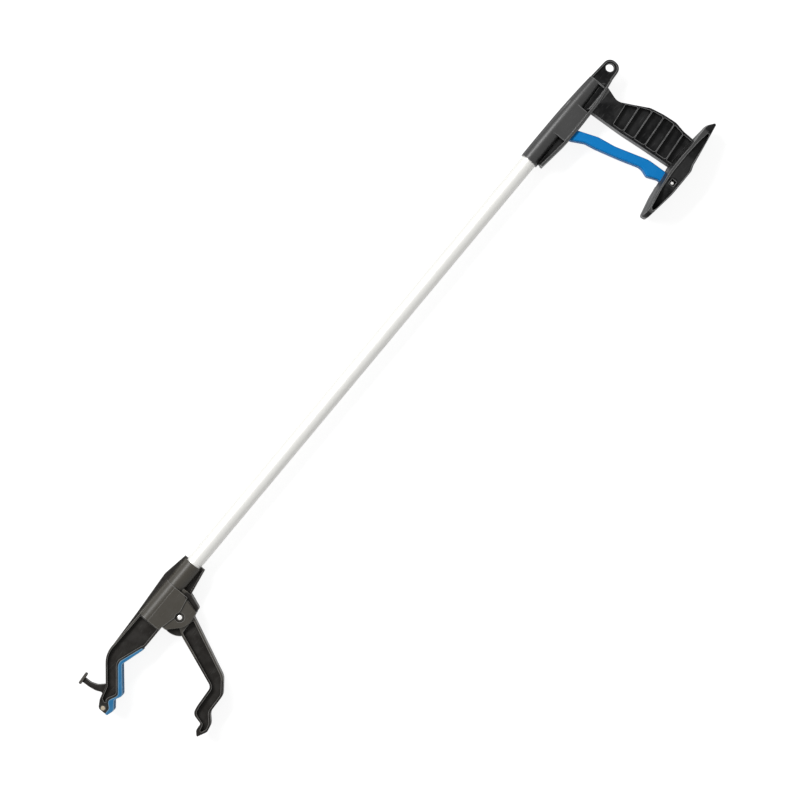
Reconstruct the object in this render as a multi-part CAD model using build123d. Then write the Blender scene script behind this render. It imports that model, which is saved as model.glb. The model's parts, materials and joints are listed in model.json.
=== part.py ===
from build123d import *
import math
import os

# A hand-operated reaching aid. Squeezing the trigger pulls a rod through the tube, and the rod
# turns the lever of the moving jaw, which closes on the fixed finger. A spring opens it again.
#
# Modelling frame, in millimetres: X runs along the tube's axis towards the jaws, Y runs from the
# tube's axis towards the grip and the moving jaw, and Z is across the tool, 0 on its middle plane.
# Jaw pieces are measured from the mouth of the jaw head (x = 0), and handle pieces from the mouth
# of the handle, which lies exposed_tube_length behind it. The last section moves every piece so
# that the origin is the bottom centre of the whole tool's box, with the tool lying on its side.

# ---------------------------------------------------------------- driving dimensions
# Tube and rod
exposed_tube_length = 516.0     # from the handle's mouth to the jaw head's mouth
tube_radius = 8.0
tube_wall = 1.0
jaw_socket_depth = 28.0
handle_socket_depth = 32.0
rod_radius = 1.5
link_pin_radius = 1.5
spring_wire_radius = 0.5
spring_coils = 13
spring_length = 50.0            # as fitted, with the trigger released
spring_inset = 18.0             # from the tube's handle end to the spring's seat

# Fits, each per side
press_gap = 0.02                # steel pressed on steel
bond_gap = 0.05                 # pressed and bonded joints
running_gap = 0.06              # pins, rods and bushes that turn or slide
side_gap = 0.4                  # moving mouldings beside fixed ones
link_slot_gap = 0.3             # cross pins in the open forks
stop_ledge = 0.6                # ledge that a tube's end rests on, and the collar's gap

# Jaw head and moving jaw
head_wall = 1.95                # round the tube's socket
jaw_closing = 43.0              # degrees from open to closed
jaw_pivot_x = 48.0
jaw_pivot_drop = 23.5           # from the tube's axis to the jaw's pivot, the lever's arm
jaw_pin_radius = 2.4
jaw_width = 13.0                # moving jaw, between the ears
ear_wall = 2.7
cheek_wall = 3.9
housing_front = 70.4            # front face of the link housing
finger_width = 15.0
hollow_depth = 4.0
liner_thickness = 4.0
magnet_radius = 2.3
magnet_x = 164.9
magnet_drop = 22.4
web_thickness = 4.4             # stiffening webs on the middle plane
lower_web_thickness = 3.0
lower_bead_width = 7.0
hub_radius = 10.0
hub_guard_radius = 19.0         # the sector that closes the gap beside the pivot
clip_radius = 4.2
clip_thickness = 0.6
jaw_clip_depth = 1.4            # recess in each ear round the pin's ends
jaw_fork_half = 4.9             # half the width of the jaw lever's fork
tongue_thickness = 3.0          # rod ends
tongue_height = 6.8
tongue_reach = 4.2              # from a cross pin to the tip of its tongue
fork_reach = 3.0                # how far each fork runs past the farthest place of its cross pin
fork_room = 2.4                 # past the tongue, at the closed end of each fork
hub_offset = 7.6                # from a cross pin to the round hub of its rod end
rod_end_hub = 11.0

# Handle and trigger
barrel_wall = 1.4               # round the tube's socket
keel_drop = 17.8                # from the tube's axis to the barrel's underside
rim_proud = 0.4                 # how far the rim stands out of the barrel's side
tail_x = -102.7                 # rear wall of the barrel
tail_wall = 1.5
trigger_pivot_x = -71.9         # from the handle's mouth
trigger_pivot_drop = 122.0      # from the tube's axis to the trigger's pivot
trigger_link_x = -44.0          # cross pin on the tube's axis, trigger released
trigger_pin_radius = 2.2
trigger_width = 14.0
trigger_neck_width = 10.8       # its forked end, in the barrel
trigger_neck_drop = 8.0         # from the tube's axis to where the fork's end starts to widen
trigger_neck_length = 3.5
trigger_fork_half = 4.4         # half the width of the trigger's fork
foot_radius = 5.2
pin_seat = 9.6                  # depth of the pin's recesses, from the middle plane
grip_width = 17.0
grip_hollow_depth = 4.5
grip_rib = 1.2
flange_width = 32.0
flange_crown = 35.6             # radius of the flange's arched top, across the tool
pivot_below_crest = 13.0        # trigger pivot below the flange's highest line
hang_hole_radius = 4.1
hang_hole_x = -121.4
hang_hole_drop = 2.6
eye_thickness = 9.0
eye_panel_depth = 1.6
cover_front = -36.2             # raised block over the trigger's fork
cover_length = 36.3
cover_wall = 2.0
guide_length = 8.0
collar_length = 6.0

# ---------------------------------------------------------------- sizes that follow
tube_bore = tube_radius - tube_wall
socket_radius = tube_radius + bond_gap
head_radius = socket_radius + head_wall
barrel_radius = socket_radius + barrel_wall
cover_back = cover_front - cover_length
jaw_slot = jaw_width + 2 * side_gap
ear_width = jaw_slot + 2 * ear_wall
cheek_width = jaw_slot + 2 * cheek_wall
fork_gap = tongue_thickness + 2 * side_gap
rod_travel = 2 * jaw_pivot_drop * math.tan(math.radians(jaw_closing / 2))
jaw_link_x = jaw_pivot_x + rod_travel / 2
trigger_lean = math.degrees(math.atan2(trigger_link_x - trigger_pivot_x, trigger_pivot_drop))
squeezed_x = trigger_link_x - rod_travel
squeezed_lean = math.degrees(math.atan2(squeezed_x - trigger_pivot_x, trigger_pivot_drop))
trigger_squeeze = trigger_lean - squeezed_lean
crest_drop = trigger_pivot_drop - pivot_below_crest
hand_space = crest_drop - keel_drop
neck_slot = trigger_neck_width + 2 * side_gap
trigger_slot = trigger_width + 2 * side_gap
jaw_lever_lean = jaw_closing / 2
jaw_arm = jaw_pivot_drop / math.cos(math.radians(jaw_lever_lean))
trigger_arm = trigger_pivot_drop / math.cos(math.radians(trigger_lean))
jaw_tip_swing = math.hypot(jaw_arm + fork_reach, jaw_fork_half)
trigger_tip_swing = math.hypot(trigger_arm + fork_reach, trigger_fork_half)
jaw_cavity_top = jaw_tip_swing - jaw_pivot_drop + side_gap
handle_cavity_top = trigger_tip_swing - trigger_pivot_drop + side_gap
neck_front = trigger_link_x - trigger_pivot_x + 2 * trigger_fork_half
neck_height = trigger_pivot_drop - trigger_neck_drop
neck_lean = math.atan2(neck_front, neck_height) - math.radians(trigger_squeeze)
neck_top = trigger_pivot_drop - math.hypot(neck_front, neck_height) * math.cos(neck_lean)
rod_passage = tube_bore - stop_ledge
through = 60.0                  # length of a cutter that goes right through, across the tool

pieces = {}


# ---------------------------------------------------------------- shared shapes
def outline(corners):
    """Flat face on the middle plane. Its corners, (x, y, radius), are joined by straight runs and
    tangent arcs, and no arc takes more than about half of a run beside it."""
    arcs = []
    for index, (x, y, radius) in enumerate(corners):
        here = Vector(x, y)
        last = Vector(*corners[index - 1][:2]) - here
        following = Vector(*corners[(index + 1) % len(corners)][:2]) - here
        towards_last = last.normalized()
        towards_next = following.normalized()
        half_angle = math.acos(towards_last.dot(towards_next)) / 2
        room = 0.49 * min(last.length, following.length) * math.tan(half_angle)
        radius = min(radius, room)
        reach = radius / math.tan(half_angle)
        towards_middle = (towards_last + towards_next).normalized()
        arc_middle = here + towards_middle * (radius / math.sin(half_angle) - radius)
        arcs.append((here + towards_last * reach, arc_middle, here + towards_next * reach, radius))
    edges = []
    for index, (start, arc_middle, end, radius) in enumerate(arcs):
        edges.append(Edge.make_line(arcs[index - 1][2], start))
        if radius > 0:
            edges.append(Edge.make_three_point_arc(start, arc_middle, end))
    face = Face(Wire(edges))
    return face if face.normal_at().Z > 0 else -face


def slab(corners, width, edge=0.0):
    """A plate of the given outline, centred on the middle plane, with its rims rounded by edge."""
    plate = extrude(outline(corners), amount=width / 2, both=True)
    if edge > 0:
        rims = plate.faces().sort_by(Axis.Z)
        plate = fillet(rims[0].edges() + rims[-1].edges(), edge)
    return plate


def block(x_low, x_high, y_low, y_high, width):
    """A box centred on the middle plane."""
    middle = Pos((x_low + x_high) / 2, (y_low + y_high) / 2, 0)
    return middle * Box(x_high - x_low, y_high - y_low, width)


def bar(x_low, x_high, radius):
    """A cylinder along the tube's axis."""
    return Pos((x_low + x_high) / 2, 0, 0) * Rot(0, 90, 0) * Cylinder(radius, x_high - x_low)


def pin_at(x, y, radius, length):
    """A cylinder across the tool."""
    return Pos(x, y, 0) * Cylinder(radius, length)


def both_sides(shape):
    """The shape and its mirror image in the middle plane."""
    return shape + mirror(shape, about=Plane.XY)


def side_hollow(corners, width, depth):
    """The two shallow hollows of one outline, cut depth deep into the sides of a plate."""
    cutter = Pos(0, 0, width / 2 - depth) * extrude(outline(corners), amount=depth + 1)
    return both_sides(cutter)


def swung(x, y, length, lean):
    """The point a length above (x, y), towards the tube's axis, leaning forward by lean degrees."""
    angle = math.radians(lean)
    return x + length * math.sin(angle), y - length * math.cos(angle)


def open_fork(pivot_x, pivot_y, lean, arm, half_width):
    """The two corners of a lever's open end, past the farthest place of its cross pin."""
    angle = math.radians(lean)
    across_x = math.cos(angle) * half_width
    across_y = math.sin(angle) * half_width
    end_x, end_y = swung(pivot_x, pivot_y, arm + fork_reach, lean)
    return [
        (end_x - across_x, end_y - across_y, 1.2),
        (end_x + across_x, end_y + across_y, 1.2),
    ]


def fork_cuts(pivot_x, pivot_y, lean, shortest_arm, longest_arm):
    """The open slot for a cross pin, and the gap between the fork's two cheeks."""
    half = link_pin_radius + link_slot_gap
    start = shortest_arm - half
    finish = longest_arm + 3 * fork_reach
    middle_x, middle_y = swung(pivot_x, pivot_y, (start + finish) / 2, lean)
    slot = Pos(middle_x, middle_y, 0) * Rot(0, 0, lean) * Box(2 * half, finish - start, through)
    round_x, round_y = swung(pivot_x, pivot_y, start, lean)
    slot += pin_at(round_x, round_y, half, through)
    gap_start = shortest_arm - tongue_height / 2 - fork_room
    gap_x, gap_y = swung(pivot_x, pivot_y, (gap_start + finish) / 2, lean)
    gap = Pos(gap_x, gap_y, 0) * Rot(0, 0, lean) * Box(through, finish - gap_start, fork_gap)
    return slot, gap


# ---------------------------------------------------------------- jaw head
def finger_top():
    """Back of the fixed finger, from the housing to its tip."""
    return [
        (housing_front - 6, -9.3, 0),
        (122.0, -10.2, 26),
        (146.2, 10.2, 8),
        (160.5, 14.4, 6),
        (167.9, 19.0, 3.8),
        (167.9, 27.4, 0.8),
    ]


def finger_bottom():
    """Gripping side of the fixed finger, from its tip back to where the liner starts."""
    return [
        (161.6, 27.4, 3),
        (155.9, 21.3, 3.5),
        (146.2, 26.0, 3.5),
        (121.0, 5.0, 8),
        (96.6, 13.6, 6),
    ]


def fixed_finger():
    """Hollow-sided finger, its top web and the hook for dressing at its end."""
    heel = [(92.8, 15.8, 1), (housing_front - 6, 15.8, 0)]
    finger = slab(finger_top() + finger_bottom() + heel, finger_width, 0.7)
    front_hollow = [
        (housing_front + 1.4, -7.4, 0.8),
        (121.8, -8.2, 24),
        (145.4, 12.2, 8),
        (158.0, 15.9, 2),
        (160.4, 22.6, 1),
        (156.0, 18.6, 3),
        (146.0, 23.4, 3),
        (121.2, 2.8, 9),
        (96.0, 11.6, 6),
        (91.8, 13.7, 2),
        (housing_front + 1.4, 13.7, 0.8),
    ]
    finger -= side_hollow(front_hollow, finger_width, hollow_depth)
    return finger


def dressing_hook():
    """T-shaped lug on a curved stem, for pulling clothes on or off."""
    stem = slab(
        [
            (154.2, -10.5, 0),
            (153.9, -3.0, 8),
            (151.4, 3.6, 8),
            (144.6, 10.6, 0),
            (146.5, 13.0, 0),
            (157.4, 15.0, 0),
            (154.6, 11.4, 1.5),
            (157.2, 5.6, 9),
            (158.6, -2.0, 9),
            (159.0, -10.3, 0),
        ],
        web_thickness,
    )
    bar_head = Box(13.0, 2.8, 9.0)
    bar_head = fillet(bar_head.edges().filter_by(Axis.Y), 3.6)
    bar_head = chamfer(bar_head.faces().filter_by(Axis.Y).edges(), 0.6)
    return stem + Pos(156.0, -11.4, 0) * Rot(0, 0, 5) * bar_head


def jaw_head():
    """Tube socket, link housing, two ears and the fixed finger, in one moulding."""
    head = bar(0, housing_front, head_radius)
    head = fillet(head.faces().sort_by(Axis.X)[0].edges(), 0.8)
    cheek_corners = [
        (jaw_socket_depth, 1.2, 0),
        (housing_front, 1.2, 0),
        (housing_front, 15.2, 1),
        (jaw_pivot_x + 3, jaw_pivot_drop - 3.6, 4),
        (jaw_pivot_x - 6, jaw_pivot_drop - 3.6, 4),
        (jaw_socket_depth, 17.0, 1),
    ]
    head += slab(cheek_corners, cheek_width)
    head += bar(jaw_socket_depth, housing_front, cheek_width / 2 - 0.2)
    stop_corners = [
        (jaw_pivot_x - 24, 8.0, 0),
        (jaw_pivot_x - 24, jaw_pivot_drop - 5.5, 0),
        (jaw_pivot_x - 18.6, jaw_pivot_drop + 8.8, 3),
        (jaw_pivot_x - 10, jaw_pivot_drop + 9.6, 0),
        (jaw_pivot_x - 10, 8.0, 0),
    ]
    head += slab(stop_corners, jaw_slot - 1.0, 0.5)
    ear_corners = [
        (jaw_pivot_x - 19.0, 8.0, 0),
        (jaw_pivot_x - 18.2, jaw_pivot_drop - 4.0, 0),
        (jaw_pivot_x - 14.4, jaw_pivot_drop + 9.4, 2.0),
        (jaw_pivot_x - 2, jaw_pivot_drop + 11.6, 16),
        (jaw_pivot_x + 6, jaw_pivot_drop + 8.6, 6),
        (jaw_pivot_x + 18.4, jaw_pivot_drop - 3.4, 1),
        (jaw_pivot_x + 18.4, 8.0, 0),
    ]
    head += slab(ear_corners, ear_width, 0.6)
    spine_corners = [
        (-1.2, -6.0, 0),
        (-1.2, -head_radius - 1.6, 0.5),
        (jaw_socket_depth - 3, -head_radius - 5.8, 14),
        (housing_front + 1.6, -head_radius - 2.2, 40),
        (116.0, -9.9, 0),
        (112.0, -6.0, 0),
    ]
    head += slab(spine_corners, web_thickness, 0.5)
    lower_web_corners = [
        (-2.6, 5.0, 0),
        (-2.6, head_radius + 2.4, 0.5),
        (jaw_pivot_x - 22, 17.6, 0),
        (jaw_socket_depth + 2, 17.6, 0),
        (jaw_socket_depth + 2, 5.0, 0),
    ]
    head += slab(lower_web_corners, lower_web_thickness)
    lower_bead_corners = [
        (-2.6, head_radius + 0.8, 0.5),
        (-2.6, head_radius + 2.4, 0.5),
        (jaw_pivot_x - 22, 17.6, 0),
        (jaw_pivot_x - 20, 15.8, 0),
    ]
    head += slab(lower_bead_corners, lower_bead_width, 0.5)
    head += fixed_finger()
    head += dressing_hook()
    # inside: the tube's socket, its stop, and the space that the lever and the hub turn in
    head -= bar(-5, jaw_socket_depth, socket_radius)
    head -= bar(0, housing_front - 6, rod_passage)
    swing_back = rod_travel / 2 + fork_reach + jaw_fork_half
    lever_space = [
        (jaw_pivot_x - swing_back, -jaw_cavity_top, 0),
        (jaw_pivot_x + hub_guard_radius + side_gap, -jaw_cavity_top, 0),
        (jaw_pivot_x + hub_guard_radius + side_gap, jaw_pivot_drop + 30, 0),
        (jaw_pivot_x - hub_radius - 0.6, jaw_pivot_drop + 30, 0),
        (jaw_pivot_x - hub_radius - 0.6, jaw_pivot_drop - 6.0, 0),
        (jaw_pivot_x - hub_radius - 2.2, jaw_pivot_drop - 11.5, 0),
        (jaw_pivot_x - swing_back, jaw_pivot_drop - 19.5, 0),
    ]
    head -= slab(lever_space, jaw_slot)
    head -= pin_at(jaw_pivot_x, jaw_pivot_drop, jaw_pin_radius + bond_gap, through)
    seat = pin_at(jaw_pivot_x, jaw_pivot_drop, clip_radius + 0.5, 20)
    head -= both_sides(Pos(0, 0, ear_width / 2 - jaw_clip_depth + 10) * seat)
    head -= pin_at(magnet_x, magnet_drop, magnet_radius + bond_gap, through)
    return head


def finger_liner():
    """Rubber pad bonded along the gripping side of the fixed finger."""
    seat = finger_bottom()
    tip_x, tip_y, tip_radius = finger_top()[-1]
    seat_corners = [(tip_x, tip_y, 0)] + seat + [(95.4, 13.6, 0)]
    pad_face = [
        (95.3, 12.5 + liner_thickness, 1.2),
        (119.9, 5.2 + liner_thickness, 3),
        (143.6, 25.6 + liner_thickness, 3.5),
        (151.8, 21.5 + liner_thickness, 3),
        (160.2, 28.2 + liner_thickness, 3),
        (tip_x, 25.9 + liner_thickness, 0.8),
    ]
    pad = extrude(outline(seat_corners + pad_face), amount=finger_width / 2, both=True)
    finger = extrude(
        outline(finger_top() + seat + [(92.8, 15.8, 1), (housing_front - 6, 15.8, 0)]),
        amount=finger_width / 2 + 1,
        both=True,
    )
    return pad - finger


def tip_magnet():
    """Round magnet across the finger's tip, flush with its sides."""
    return chamfer(pin_at(magnet_x, magnet_drop, magnet_radius, finger_width).edges(), 0.3)


# ---------------------------------------------------------------- moving jaw
def moving_jaw():
    """Finger, hub, pinch guard and forked lever, in one moulding."""
    x = jaw_pivot_x
    y = jaw_pivot_drop
    outer = [
        (x - 9.3, y + 2, 0),
        (x - 9.3, y + 9.5, 3),
        (x + 17.9, y + 70.2, 14),
        (x + 32.3, y + 81.5, 10),
        (x + 53.2, y + 82.4, 10),
        (x + 61.6, y + 90.6, 9),
        (x + 69.8, y + 92.6, 5),
        (x + 80.3, y + 87.6, 1.0),
    ]
    inner = [
        (x + 75.4, y + 82.8, 5),
        (x + 67.8, y + 82.6, 2.5),
        (x + 64.9, y + 70.2, 7),
        (x + 56.0, y + 68.5, 10),
        (x + 33.6, y + 66.9, 6),
        (x + 13.4, y + 13.0, 0),
        (x + 4.0, y - 2.0, 0),
    ]
    jaw = slab(outer + inner, jaw_width, 0.9)
    hollow = [
        (x - 6.2, y + 11.4, 2),
        (x + 19.2, y + 68.2, 12),
        (x + 33.1, y + 79.3, 9),
        (x + 54.0, y + 80.3, 9),
        (x + 62.4, y + 88.4, 8),
        (x + 68.4, y + 90.2, 3),
        (x + 76.6, y + 87.0, 1.5),
        (x + 66.4, y + 84.4, 3),
        (x + 63.0, y + 72.3, 6),
        (x + 55.4, y + 70.6, 9),
        (x + 32.2, y + 69.0, 7),
        (x + 10.1, y + 11.4, 2),
    ]
    jaw -= side_hollow(hollow, jaw_width, hollow_depth)
    jaw += pin_at(x, y, hub_radius, jaw_width)
    guard = pin_at(x, y, hub_guard_radius, jaw_width - 5)
    guard &= slab([(x, y, 0), (x + 40, y - 7.8, 0), (x + 40, y + 36.0, 0)], jaw_width)
    jaw += guard
    left_end, right_end = open_fork(x, y, jaw_lever_lean, jaw_arm, jaw_fork_half)
    jaw += slab([(x - 7, y - 3, 0), left_end, right_end, (x + 9, y, 0)], jaw_width - 1.0)
    slot, gap = fork_cuts(x, y, jaw_lever_lean, jaw_pivot_drop, jaw_arm)
    jaw -= slot
    jaw -= gap
    jaw -= pin_at(x, y, jaw_pin_radius + running_gap, through)
    return jaw


def jaw_pivot_pin():
    """Plain pin, pressed into both ears, with rounded ends."""
    pin = pin_at(jaw_pivot_x, jaw_pivot_drop, jaw_pin_radius, ear_width)
    return fillet(pin.edges().filter_by(GeomType.CIRCLE), 0.6)


def push_on_clip(x, y, seat_z, pin_radius):
    """Spring-steel washer pushed onto a pin's far end, against its seat."""
    clip = Pos(x, y, seat_z - clip_thickness / 2) * Cylinder(clip_radius, clip_thickness)
    clip -= pin_at(x, y, pin_radius + press_gap, through)
    return clip


# ---------------------------------------------------------------- rod, links and spring
def rod_end(link_x, rod_side, hub_length):
    """Connector: a tongue with a cross hole, and a round hub that the rod is pressed into.
    rod_side is +1 where the rod leaves towards the jaws and -1 where it leaves to the handle."""
    hub_start = link_x + rod_side * hub_offset
    hub_end = link_x + rod_side * (hub_offset + hub_length)
    tongue_tip = link_x - rod_side * tongue_reach
    low = min(tongue_tip, hub_start + rod_side * 2)
    high = max(tongue_tip, hub_start + rod_side * 2)
    tongue = fillet(
        block(low, high, -tongue_height / 2, tongue_height / 2, tongue_thickness).edges().filter_by(Axis.Z),
        1.6,
    )
    end = tongue + bar(min(hub_start, hub_end), max(hub_start, hub_end), tongue_height / 2)
    end -= pin_at(link_x, 0, link_pin_radius + press_gap, through)
    rod_low, rod_high = sorted((hub_start + rod_side, hub_end + rod_side))
    return end - bar(rod_low, rod_high, rod_radius + press_gap)


def rod_guide(x_low, length):
    """Bush pressed into the tube, which keeps the rod on its axis."""
    bush = bar(x_low, x_low + length, tube_bore - bond_gap)
    ends = bush.faces().filter_by(Axis.X)
    bush = chamfer(ends.edges(), 0.5)
    return bush - bar(x_low - 1, x_low + length + 1, rod_radius + running_gap)


def compression_spring(x_low, length):
    """Round wire wound about the rod, between its seat and the collar."""
    coil_radius = tube_bore - 1.3
    wound = length - 2 * spring_wire_radius - 0.2
    helix = Helix(pitch=wound / spring_coils, height=wound, radius=coil_radius)
    wire_plane = Plane(origin=helix @ 0, z_dir=helix % 0)
    coil = sweep(wire_plane * Circle(spring_wire_radius), path=helix, is_frenet=True)
    start = x_low + spring_wire_radius + 0.1
    return Pos(start, 0, 0) * Rot(0, 90, 0) * coil


# ---------------------------------------------------------------- handle
def down(share):
    """Height between the barrel's underside (share 0) and the flange's crest (share 1)."""
    return keel_drop + share * hand_space


palm_edge = [(0.0, -104.0), (0.13, -99.5), (0.27, -106.5), (0.45, -115.7), (0.60, -118.8),
             (0.76, -120.6), (0.89, -118.6), (1.0, -118.4)]
front_edge = [(0.0, -75.2), (0.38, -78.0), (0.65, -80.8), (1.0, -84.0)]


def along(edge, share):
    """The x of an edge of the grip at a share of its height, between the points listed for it."""
    for (share_low, x_low), (share_high, x_high) in zip(edge, edge[1:]):
        if share <= share_high:
            break
    return x_low + (x_high - x_low) * (share - share_low) / (share_high - share_low)


def grip():
    """Palm grip: a plate with rounded rims, and rows of hollows that leave ribs between them."""
    corners = [(front_edge[0][1], keel_drop - 6, 0)]
    corners += [(palm_edge[0][1] - 1, keel_drop - 6, 0)]
    corners += [(x, down(share), 12) for share, x in palm_edge[1:-1]]
    corners += [(palm_edge[-1][1], down(1.0) + 4, 0), (front_edge[-1][1] - 0.4, down(1.0) + 4, 0)]
    corners += [(front_edge[2][1], down(front_edge[2][0]), 80)]
    corners += [(front_edge[1][1], down(front_edge[1][0]), 80)]
    body = slab(corners, grip_width, 1.6)
    rib_share = grip_rib / hand_space
    slope = 0.034
    first_rib = 0.366
    pitch = 0.137
    for row in range(6):
        top = first_rib + (row - 1) * pitch + rib_share / 2
        bottom = min(first_rib + row * pitch - rib_share / 2, 1.06)
        front_top = (along(front_edge, top) - 2.8, down(top + slope / 2), 1.0)
        front_bottom = (along(front_edge, bottom) - 2.8, down(bottom + slope / 2), 2.4)
        palm_bottom = (along(palm_edge, bottom) + 2.6, down(bottom - slope / 2), 1.6)
        palm_top = (along(palm_edge, top) + 2.6, down(top - slope / 2), 1.0)
        hollow = [front_top, front_bottom, palm_bottom, palm_top]
        body -= side_hollow(hollow, grip_width, grip_hollow_depth)
    return body


mouth_radius = barrel_radius - 0.15
tail_radius = barrel_radius - 2.45


def barrel_profile():
    """Half of the barrel's section along the tube: crowned near its mouth, tapering to its tail."""
    crest_x = -25.0
    first = ThreePointArc((0, -mouth_radius), (crest_x, -barrel_radius), (2 * crest_x, -mouth_radius))
    second = TangentArc((2 * crest_x, -mouth_radius), (tail_x, -tail_radius), tangent=first % 1)
    back = Line((tail_x, -tail_radius), (tail_x, 0))
    axis_line = Line((tail_x, 0), (0, 0))
    front = Line((0, 0), (0, -mouth_radius))
    return Face(Wire([first, second, back, axis_line, front]))


def barrel():
    """Tapering round barrel over the tube's socket, its keel, its rim and the hanging eye."""
    body = revolve(barrel_profile(), Axis.X, 360)
    eye_radius = hang_hole_radius + 3.9
    eye_x = hang_hole_x + 0.4
    eye_y = hang_hole_drop + 0.5
    tail = [
        (eye_x - eye_radius, eye_y - eye_radius + 0.2, 7.6),
        (tail_x + tail_wall, 2.7 - mouth_radius, 0),
        (tail_x + tail_wall, keel_drop - 4.8, 0),
        (eye_x - eye_radius, eye_y + eye_radius + 0.2, 7.8),
    ]
    body += slab(tail, eye_thickness, 0.8)
    panel = [
        (eye_x - eye_radius + 1.9, eye_y - eye_radius + 2.1, 5.8),
        (tail_x - 0.7, 4.6 - mouth_radius, 0.6),
        (tail_x - 0.7, keel_drop - 7.0, 0.6),
        (eye_x - eye_radius + 1.9, eye_y + eye_radius - 1.7, 6.0),
    ]
    body -= side_hollow(panel, eye_thickness, eye_panel_depth)
    body += block(tail_x, tail_x + tail_wall, 0, keel_drop - 5.2, 2 * tail_radius)
    rim = [
        (-112.0, 10.8, 0),
        (-112.0, 12.6, 0),
        (-86.0, keel_drop - 0.6, 60),
        (-60.0, keel_drop + 0.1, 120),
        (-34.0, keel_drop - 0.3, 90),
        (-3.2, keel_drop - 3.7, 0.5),
        (-3.2, keel_drop - 6.6, 0.5),
        (-34.0, keel_drop - 3.4, 60),
        (-60.0, keel_drop - 3.2, 60),
        (-86.0, keel_drop - 4.0, 60),
    ]
    body += slab(rim, 2 * (barrel_radius + rim_proud), 0.6)
    keel = [
        (-100.0, 0, 0),
        (-3.2, 0, 0),
        (-3.2, keel_drop - 5.0, 0),
        (-34.0, keel_drop - 1.6, 0),
        (-86.0, keel_drop - 1.9, 0),
        (-108.0, keel_drop - 5.6, 0),
    ]
    body += slab(keel, web_thickness + 2)
    return body


def link_cover():
    """The barrel's sides carried straight down to the rim, round the trigger's forked end."""
    half_plan = Rot(90, 0, 0) * barrel_profile()
    sides = both_sides(extrude(half_plan, amount=keel_drop - 2, dir=(0, 1, 0)))
    return sides & block(cover_back, cover_front, 0, keel_drop, through)


def flange():
    """Hand guard: a long boat shape with an arched top and hollow sides."""
    crest = crest_drop
    side = [
        (-147.4, crest + 9.4, 1.8),
        (-138.0, crest + 2.4, 10),
        (-98.0, crest - 0.6, 90),
        (-80.0, crest - 0.2, 50),
        (-48.0, crest + 4.6, 60),
        (-28.0, crest + 9.6, 3),
        (-29.4, crest + 16.2, 3.5),
        (-62.0, crest + 20.1, 60),
        (-91.5, crest + 20.0, 5),
        (-97.5, crest + 17.8, 8),
    ]
    plan = [
        (-27.8, -flange_width / 2, 14),
        (-27.8, flange_width / 2, 14),
        (-108.0, flange_width / 2, 60),
        (-148.0, 5.0, 4.0),
        (-148.0, -5.0, 4.0),
        (-108.0, -flange_width / 2, 60),
    ]
    body = extrude(outline(side), amount=flange_width, both=True)
    from_above = Pos(0, crest, 0) * Rot(90, 0, 0) * outline(plan)
    body &= extrude(from_above, amount=60, both=True)
    axis_drop = crest + flange_crown
    crown = outline(side[:6] + [(-28.0, axis_drop, 0), (-147.4, axis_drop, 0)])
    body &= revolve(crown, Axis((0, axis_drop, 0), (1, 0, 0)), 360)
    # side hollows, deep towards both ends, round a core that bulges in the middle
    side_hollow_corners = [
        (-136.0, crest + 9.4, 1),
        (-118.0, crest + 7.0, 12),
        (-100.0, crest + 6.2, 30),
        (-82.0, crest + 6.3, 40),
        (-61.5, crest + 8.2, 20),
        (-40.5, crest + 12.4, 1.5),
        (-37.5, crest + 15.4, 1.5),
        (-42.0, crest + 16.8, 2),
        (-61.5, crest + 18.7, 20),
        (-90.0, crest + 18.8, 5),
        (-97.0, crest + 16.2, 8),
        (-126.0, crest + 12.4, 6),
    ]
    hollows = side_hollow(side_hollow_corners, flange_width, flange_width / 2 - 3.5)
    core_bulge = flange_width / 2 - 1.6
    core_plan = [
        (-139.0, -3.0, 0),
        (-106.0, -core_bulge, 40),
        (-64.0, -core_bulge, 24),
        (-36.0, -3.0, 0),
        (-36.0, 3.0, 0),
        (-64.0, core_bulge, 24),
        (-106.0, core_bulge, 40),
        (-139.0, 3.0, 0),
    ]
    core = extrude(Pos(0, crest, 0) * Rot(90, 0, 0) * outline(core_plan), amount=60, both=True)
    body -= hollows - core
    return body


def handle_frame():
    """Barrel, grip and flange in one moulding, with the spaces that the trigger moves in."""
    frame = barrel() + link_cover() + grip() + flange()
    # the tube's socket, its stop, and the space for the rod's end and the trigger's fork
    frame -= bar(-handle_socket_depth, 5, socket_radius)
    frame -= bar(cover_front - 4, 0, rod_passage)
    cavity_back = cover_back + cover_wall
    cavity_front = cover_front - cover_wall
    frame -= block(cavity_back, cavity_front, -handle_cavity_top, keel_drop, neck_slot)
    frame -= block(cavity_back, cavity_front, neck_top - side_gap, keel_drop + 2, trigger_slot)
    foot = foot_radius + side_gap
    foot_space = [
        (trigger_pivot_x - 8.6, crest_drop - 8, 0),
        (trigger_pivot_x + 11.6, crest_drop - 8, 0),
        (trigger_pivot_x + 11.6, crest_drop + 5, 0),
        (trigger_pivot_x + foot, trigger_pivot_drop - 1, 0),
        (trigger_pivot_x + foot, trigger_pivot_drop + foot, foot),
        (trigger_pivot_x - foot, trigger_pivot_drop + foot, foot),
        (trigger_pivot_x - foot, trigger_pivot_drop - 2, 0),
        (trigger_pivot_x - 8.6, crest_drop + 6, 0),
    ]
    frame -= slab(foot_space, trigger_slot)
    frame -= pin_at(trigger_pivot_x, trigger_pivot_drop, trigger_pin_radius + bond_gap, through)
    near_recess = Box(2 * trigger_pin_radius + 1.2, 2 * trigger_pin_radius + 1.2, 20)
    frame -= Pos(trigger_pivot_x, trigger_pivot_drop, pin_seat + 10) * near_recess
    frame -= Pos(0, 0, -pin_seat - 10) * pin_at(trigger_pivot_x, trigger_pivot_drop, clip_radius + 0.3, 20)
    frame -= pin_at(hang_hole_x, hang_hole_drop, hang_hole_radius, through)
    return frame


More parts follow.
